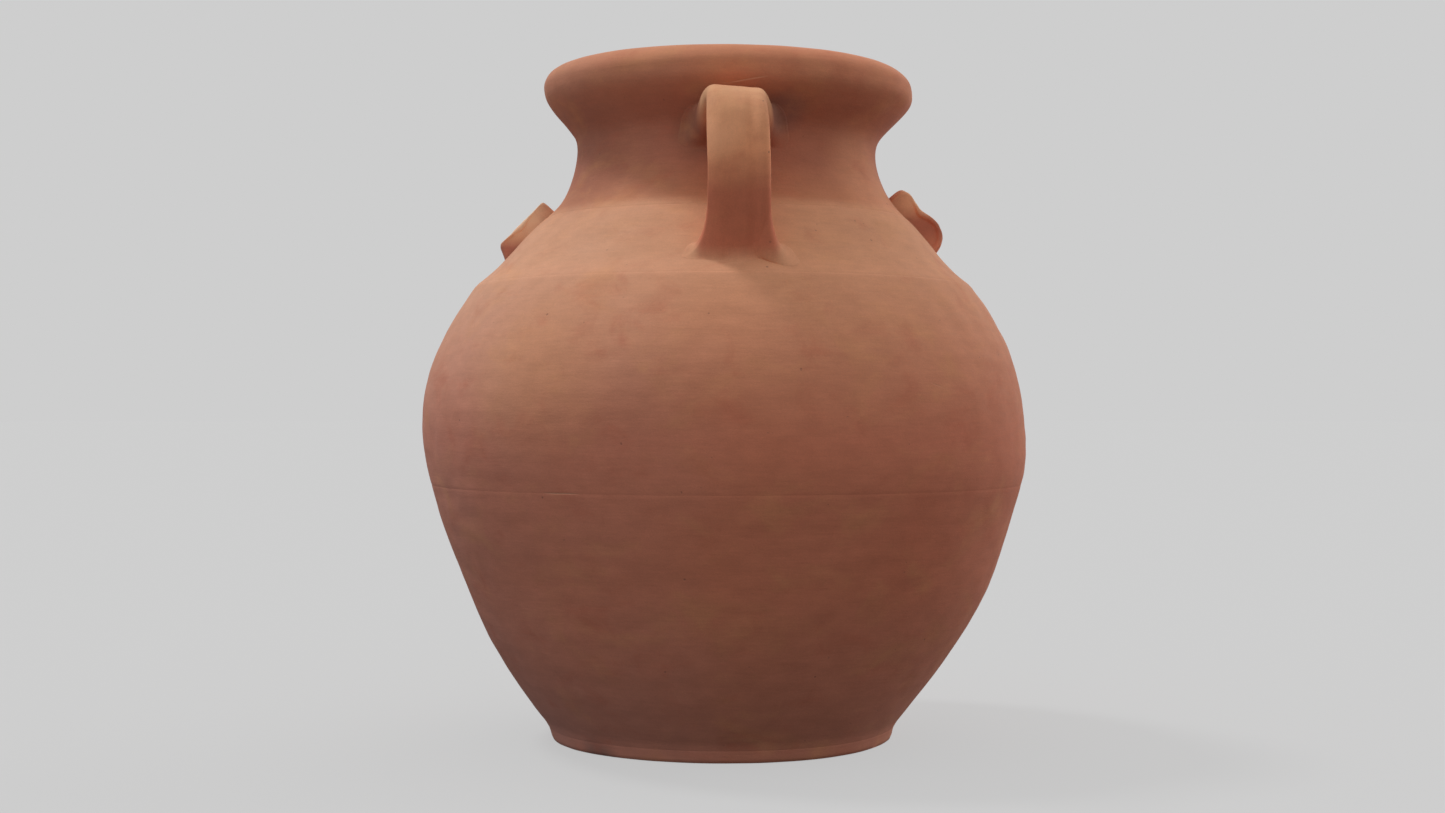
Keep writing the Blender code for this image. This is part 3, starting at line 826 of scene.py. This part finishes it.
def clay(name, own_colours=None, half_width=1.0, grain_way=(1.0, 1.0, 10.0), seed=0.0):
    """Unglazed fired clay: colour by height and side, kiln flashes, painted light and shade, mottling,
    wiping marks, grit and pores.

    own_colours hold off the wall and within half_width of the jar's middle plane; elsewhere the wall's do.
    Both ramps hold painted light and shade as well as the clay's colour.
    """
    made = bpy.data.materials.new(name)
    made.use_nodes = True
    tree = made.node_tree
    shader = tree.nodes["Principled BSDF"]
    n = Nodes(tree)
    place = n.add("ShaderNodeTexCoord").outputs["Object"]
    shifted = n.add("ShaderNodeVectorMath", {0: place, 1: (seed, seed * 0.7, 0)}, operation="ADD").outputs[0]
    split = n.add("ShaderNodeSeparateXYZ", {0: place})
    warp = n.math("SUBTRACT", n.noise(shifted, 12, 3), 0.5)

    # The colour by height, partly the firing's and partly painted light and shade, on the piece's own scale
    # where it stands off the wall.
    height = n.math("ADD", n.math("DIVIDE", split.outputs["Z"], TOP), n.math("MULTIPLY", warp, 0.010))
    colour = n.ramp(height, WALL_COLOURS)
    if own_colours:
        flat_place = n.add("ShaderNodeVectorMath", {0: place, 1: (1, 1, 0)}, operation="MULTIPLY").outputs[0]
        reach = n.add("ShaderNodeVectorMath", {0: flat_place}, operation="LENGTH").outputs["Value"]
        beside = n.math("ABSOLUTE", n.math("SUBTRACT", split.outputs["X"], 0.003))
        within = n.spread(beside, half_width + 0.006, half_width)
        own = n.math("MULTIPLY", n.spread(reach, 0.108, 0.132), within)
        colour = n.mix("MIX", own, colour, n.ramp(height, own_colours))
    # Patches of colour: kiln flashes and smudges, and painted light and shade on the neck, beside the
    # strap's top, on the strap's left edge and at the foot.
    for centre, radius, patch_colour, share in FLASHES_AND_PAINTED_LIGHT:
        away = n.add("ShaderNodeVectorMath", {0: place, 1: centre}, operation="DISTANCE").outputs["Value"]
        away = n.math("ADD", away, n.math("MULTIPLY", warp, radius * 0.5))
        colour = n.mix("MIX", n.spread(away, radius, radius * 0.25, 0, share), colour, patch_colour)
    # The broad tint across the jar, with painted cool light on its left.
    across = n.math("ADD", n.math("MULTIPLY", split.outputs["X"], 2.5), 0.5)
    across = n.math("ADD", across, n.math("MULTIPLY", warp, 0.4))
    colour = n.mix("MULTIPLY", 1.0, colour, n.ramp(across, PAINTED_SIDE_TINT))

    # Mottling, from broad patches down to clouds, wiping streaks and grit.
    patch = n.noise(shifted, 24, 6, (1, 1, 1.5), 0.6, 0.5)
    colour = n.mix("MIX", n.spread(patch, 0.48, 0.78, 0, 0.30), colour, PATCH_OCHRE)
    stain = n.noise(shifted, 31, 6, (1, 1, 1.4), 0.62, 0.6)
    colour = n.mix("MIX", n.spread(stain, 0.50, 0.80, 0, 0.38), colour, STAIN_RED)
    cloud = n.noise(shifted, 70, 5, (1, 1, 1.8), 0.6)
    colour = shaded(n, colour, cloud, (0.3, (0.95, 0.945, 0.94)), (0.7, (1.05, 1.05, 1.05)))
    streak = n.noise(shifted, 60, 6, grain_way, 0.62)
    colour = shaded(n, colour, streak, (0.3, (0.965, 0.96, 0.955)), (0.7, (1.03, 1.03, 1.03)))
    colour = n.mix("MULTIPLY", 1.0, colour, WARMTH)
    grit = n.noise(place, 1000, 3, (1, 1, 1.3), 0.7)
    colour = shaded(n, colour, grit, (0.25, (0.93, 0.925, 0.92)), (0.75, (1.06, 1.06, 1.06)))

    # Rare dark specks and a few thin pale scratches.
    cells = n.add("ShaderNodeTexVoronoi", {"Vector": place, "Scale": 150.0, "Randomness": 1.0})
    rare = n.spread(n.noise(place, 200, 2), 0.62, 0.72)
    specks = n.math("MULTIPLY", n.spread(cells.outputs["Distance"], 0.17, 0.09), rare)
    colour = n.mix("MIX", n.math("MULTIPLY", specks, 0.5), colour, SPECK_BROWN)
    scratch = scratches(n, place, warp)
    colour = n.mix("MIX", n.math("MULTIPLY", scratch, 0.45), colour, SCRATCH_TAN)

    # The same marks as a fine relief.
    bumps = n.math("MULTIPLY", streak, 0.30)
    bumps = n.math("SUBTRACT", bumps, n.math("MULTIPLY", scratch, 0.5))
    bumps = n.math("ADD", bumps, n.math("MULTIPLY", grit, 0.16))
    bumps = n.math("ADD", bumps, n.math("MULTIPLY", n.noise(place, 160, 4, (1, 1, 1.8)), 0.35))
    bumps = n.math("SUBTRACT", bumps, n.math("MULTIPLY", specks, 0.3))
    relief = n.add("ShaderNodeBump", {"Strength": 0.45, "Distance": RELIEF_DEPTH, "Height": bumps})
    rough = n.spread(n.math("ADD", streak, n.math("MULTIPLY", grit, 0.4)), 0.4, 1.0, 0.80, 0.95)
    tree.links.new(colour, shader.inputs["Base Color"])
    tree.links.new(rough, shader.inputs["Roughness"])
    tree.links.new(relief.outputs[0], shader.inputs["Normal"])
    shader.inputs["Specular IOR Level"].default_value = 0.3
    return made


# The studio's even grey, and how much of the floor's share of it is its own glow rather than cast light.
BACKDROP = 0.617
FLOOR_PAINT = (0.12, 0.12, 0.12)
FLOOR_GLOW = (0.496, 0.496, 0.496)
# Broad soft lights round the jar: direction they come from, tightness, strength and colour.
SOFT_LIGHTS = (
    ((0.75, 0.65, 0.10), 5, 1.86, (1.03, 0.99, 0.96)),
    ((-1.0, 0.10, 0.10), 3, 0.32, (0.90, 1.02, 1.13)),
    ((0.0, -1.0, 0.10), 3, 0.335, (1, 1, 1)),
    ((0.0, 1.0, 0.30), 3, 0.31, (1, 1, 1)),
)
OVERHEAD = 0.563
HORIZON = 0.142
KEY_WAY = (0.60, -0.25, -1.20)
KEY_STRENGTH = 1.06
KEY_SOFTNESS = math.radians(10)
FLOOR_RADIUS = 30


def plain_floor():
    """A wide pale floor that glows partly by itself, to keep the backdrop's grey with a faint shadow."""
    bpy.ops.mesh.primitive_circle_add(vertices=128, radius=FLOOR_RADIUS, fill_type="NGON")
    floor = bpy.context.object
    floor.name = "studio_floor"
    floor.visible_diffuse = False
    floor.visible_glossy = False
    made = bpy.data.materials.new("studio_floor_paint")
    made.use_nodes = True
    shader = made.node_tree.nodes["Principled BSDF"]
    shader.inputs["Base Color"].default_value = (*FLOOR_PAINT, 1)
    shader.inputs["Roughness"].default_value = 1.0
    shader.inputs["Specular IOR Level"].default_value = 0.0
    shader.inputs["Emission Color"].default_value = (*FLOOR_GLOW, 1)
    shader.inputs["Emission Strength"].default_value = 1.0
    floor.data.materials.append(made)


def soft_dome(n):
    """The light that the world gives in each direction: overhead, low and from the soft lights."""
    way = n.add("ShaderNodeTexCoord").outputs["Generated"]
    z = n.add("ShaderNodeSeparateXYZ", {0: way}).outputs["Z"]
    high = n.spread(z, 0.1, 0.6)
    low = n.math("SUBTRACT", n.spread(z, -0.12, 0.12), high)
    even = n.math("ADD", n.math("MULTIPLY", high, OVERHEAD), n.math("MULTIPLY", low, HORIZON))
    total = n.add("ShaderNodeVectorMath", {0: (1, 1, 1), "Scale": even}, operation="SCALE").outputs[0]
    for source, tightness, strength, colour in SOFT_LIGHTS:
        source = tuple(Vector(source).normalized())
        facing = n.add("ShaderNodeVectorMath", {0: way, 1: source}, operation="DOT_PRODUCT").outputs["Value"]
        power = n.math("POWER", n.math("MAXIMUM", facing, 0.0), float(tightness))
        scale = n.math("MULTIPLY", power, strength)
        glow = n.add("ShaderNodeVectorMath", {0: colour, "Scale": scale}, operation="SCALE").outputs[0]
        total = n.add("ShaderNodeVectorMath", {0: total, 1: glow}, operation="ADD").outputs[0]
    return total


def studio():
    """Soft light from all round, a soft key from above left, and an even grey that only the camera sees."""
    scene = bpy.context.scene
    scene.view_settings.view_transform = "Standard"
    world = bpy.data.worlds.new("studio")
    scene.world = world
    world.use_nodes = True
    tree = world.node_tree
    tree.nodes.clear()
    n = Nodes(tree)
    soft = n.add("ShaderNodeBackground", {"Color": soft_dome(n), "Strength": 1.0})
    plain = n.add("ShaderNodeBackground", {"Color": (BACKDROP, BACKDROP, BACKDROP, 1), "Strength": 1.0})
    seen = n.add("ShaderNodeLightPath").outputs["Is Camera Ray"]
    both = n.add("ShaderNodeMixShader", {0: seen, 1: soft.outputs[0], 2: plain.outputs[0]})
    n.add("ShaderNodeOutputWorld", {"Surface": both.outputs[0]})
    key = bpy.data.lights.new("key", "SUN")
    key.energy = KEY_STRENGTH
    key.angle = KEY_SOFTNESS
    lamp = bpy.data.objects.new("key", key)
    lamp.rotation_euler = Vector(KEY_WAY).to_track_quat("-Z", "Y").to_euler()
    scene.collection.objects.link(lamp)


# The camera stands level with the jar's middle, a little to its left, and looks straight at its axis.
CAMERA_TURN = math.radians(-2.4)
CAMERA_DISTANCE = 1.3645
CAMERA_HEIGHT = 0.223


def camera():
    """A 50 mm lens on a 36 mm wide sensor."""
    data = bpy.data.cameras.new("camera")
    data.lens = 50
    data.sensor_width = 36
    made = bpy.data.objects.new("camera", data)
    sideways, back = math.sin(CAMERA_TURN), -math.cos(CAMERA_TURN)
    made.location = (CAMERA_DISTANCE * sideways, CAMERA_DISTANCE * back, CAMERA_HEIGHT)
    made.rotation_euler = (math.pi / 2, 0, CAMERA_TURN)
    bpy.context.scene.collection.objects.link(made)
    bpy.context.scene.camera = made


def lute(piece, node, material):
    """A finished piece, put in place of its CAD node."""
    piece.data.materials.append(material)
    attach(piece, "root")
    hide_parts(node)


def main():
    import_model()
    points, marks = outline()
    tree = outer_tree(points, marks)
    wall = clay("thrown_clay")
    pulled = clay("pulled_clay", STRAP_COLOURS, 0.0215, (8.0, 1.5, 1.5), 3.0)
    tablet_clay = clay("tablet_clay", TABLET_COLOURS, 1.0, (3.0, 3.0, 3.0), 5.0)
    lug_clay = clay("lug_clay", LUG_COLOURS, 1.0, (3.0, 3.0, 3.0), 6.0)

    lute(foot_piece(points, marks), "foot_slab", wall)
    for name, low, high, node, slot in (
        ("hand_thrown_lower_wall", "foot", "seam", "lower_wall", "wall_clay"),
        ("hand_thrown_belly", "seam", "break", "belly_wall", "wall_clay"),
        ("hand_thrown_shoulder", "break", "neck", "shoulder_wall", "wall_clay"),
        ("hand_thrown_neck", "neck", "rim", "neck_collar", "neck_clay"),
    ):
        lute(section_piece(name, low, high, points, marks), node, wall)
    lute(rim_piece(points, marks), "rim_lip", wall)
    for side, label in ((-1, "front"), (1, "back")):
        strap, upper, lower = handle_pieces(side, label, tree)
        lute(strap, label + "_handle", pulled)
        lute(upper, label + "_handle_upper_coil", pulled)
        lute(lower, label + "_handle_lower_coil", pulled)
    lute(ornament_piece(TABLET), "left_tablet", tablet_clay)
    lute(ornament_piece(LUG), "right_lug", lug_clay)

    plain_floor()
    studio()
    camera()


main()
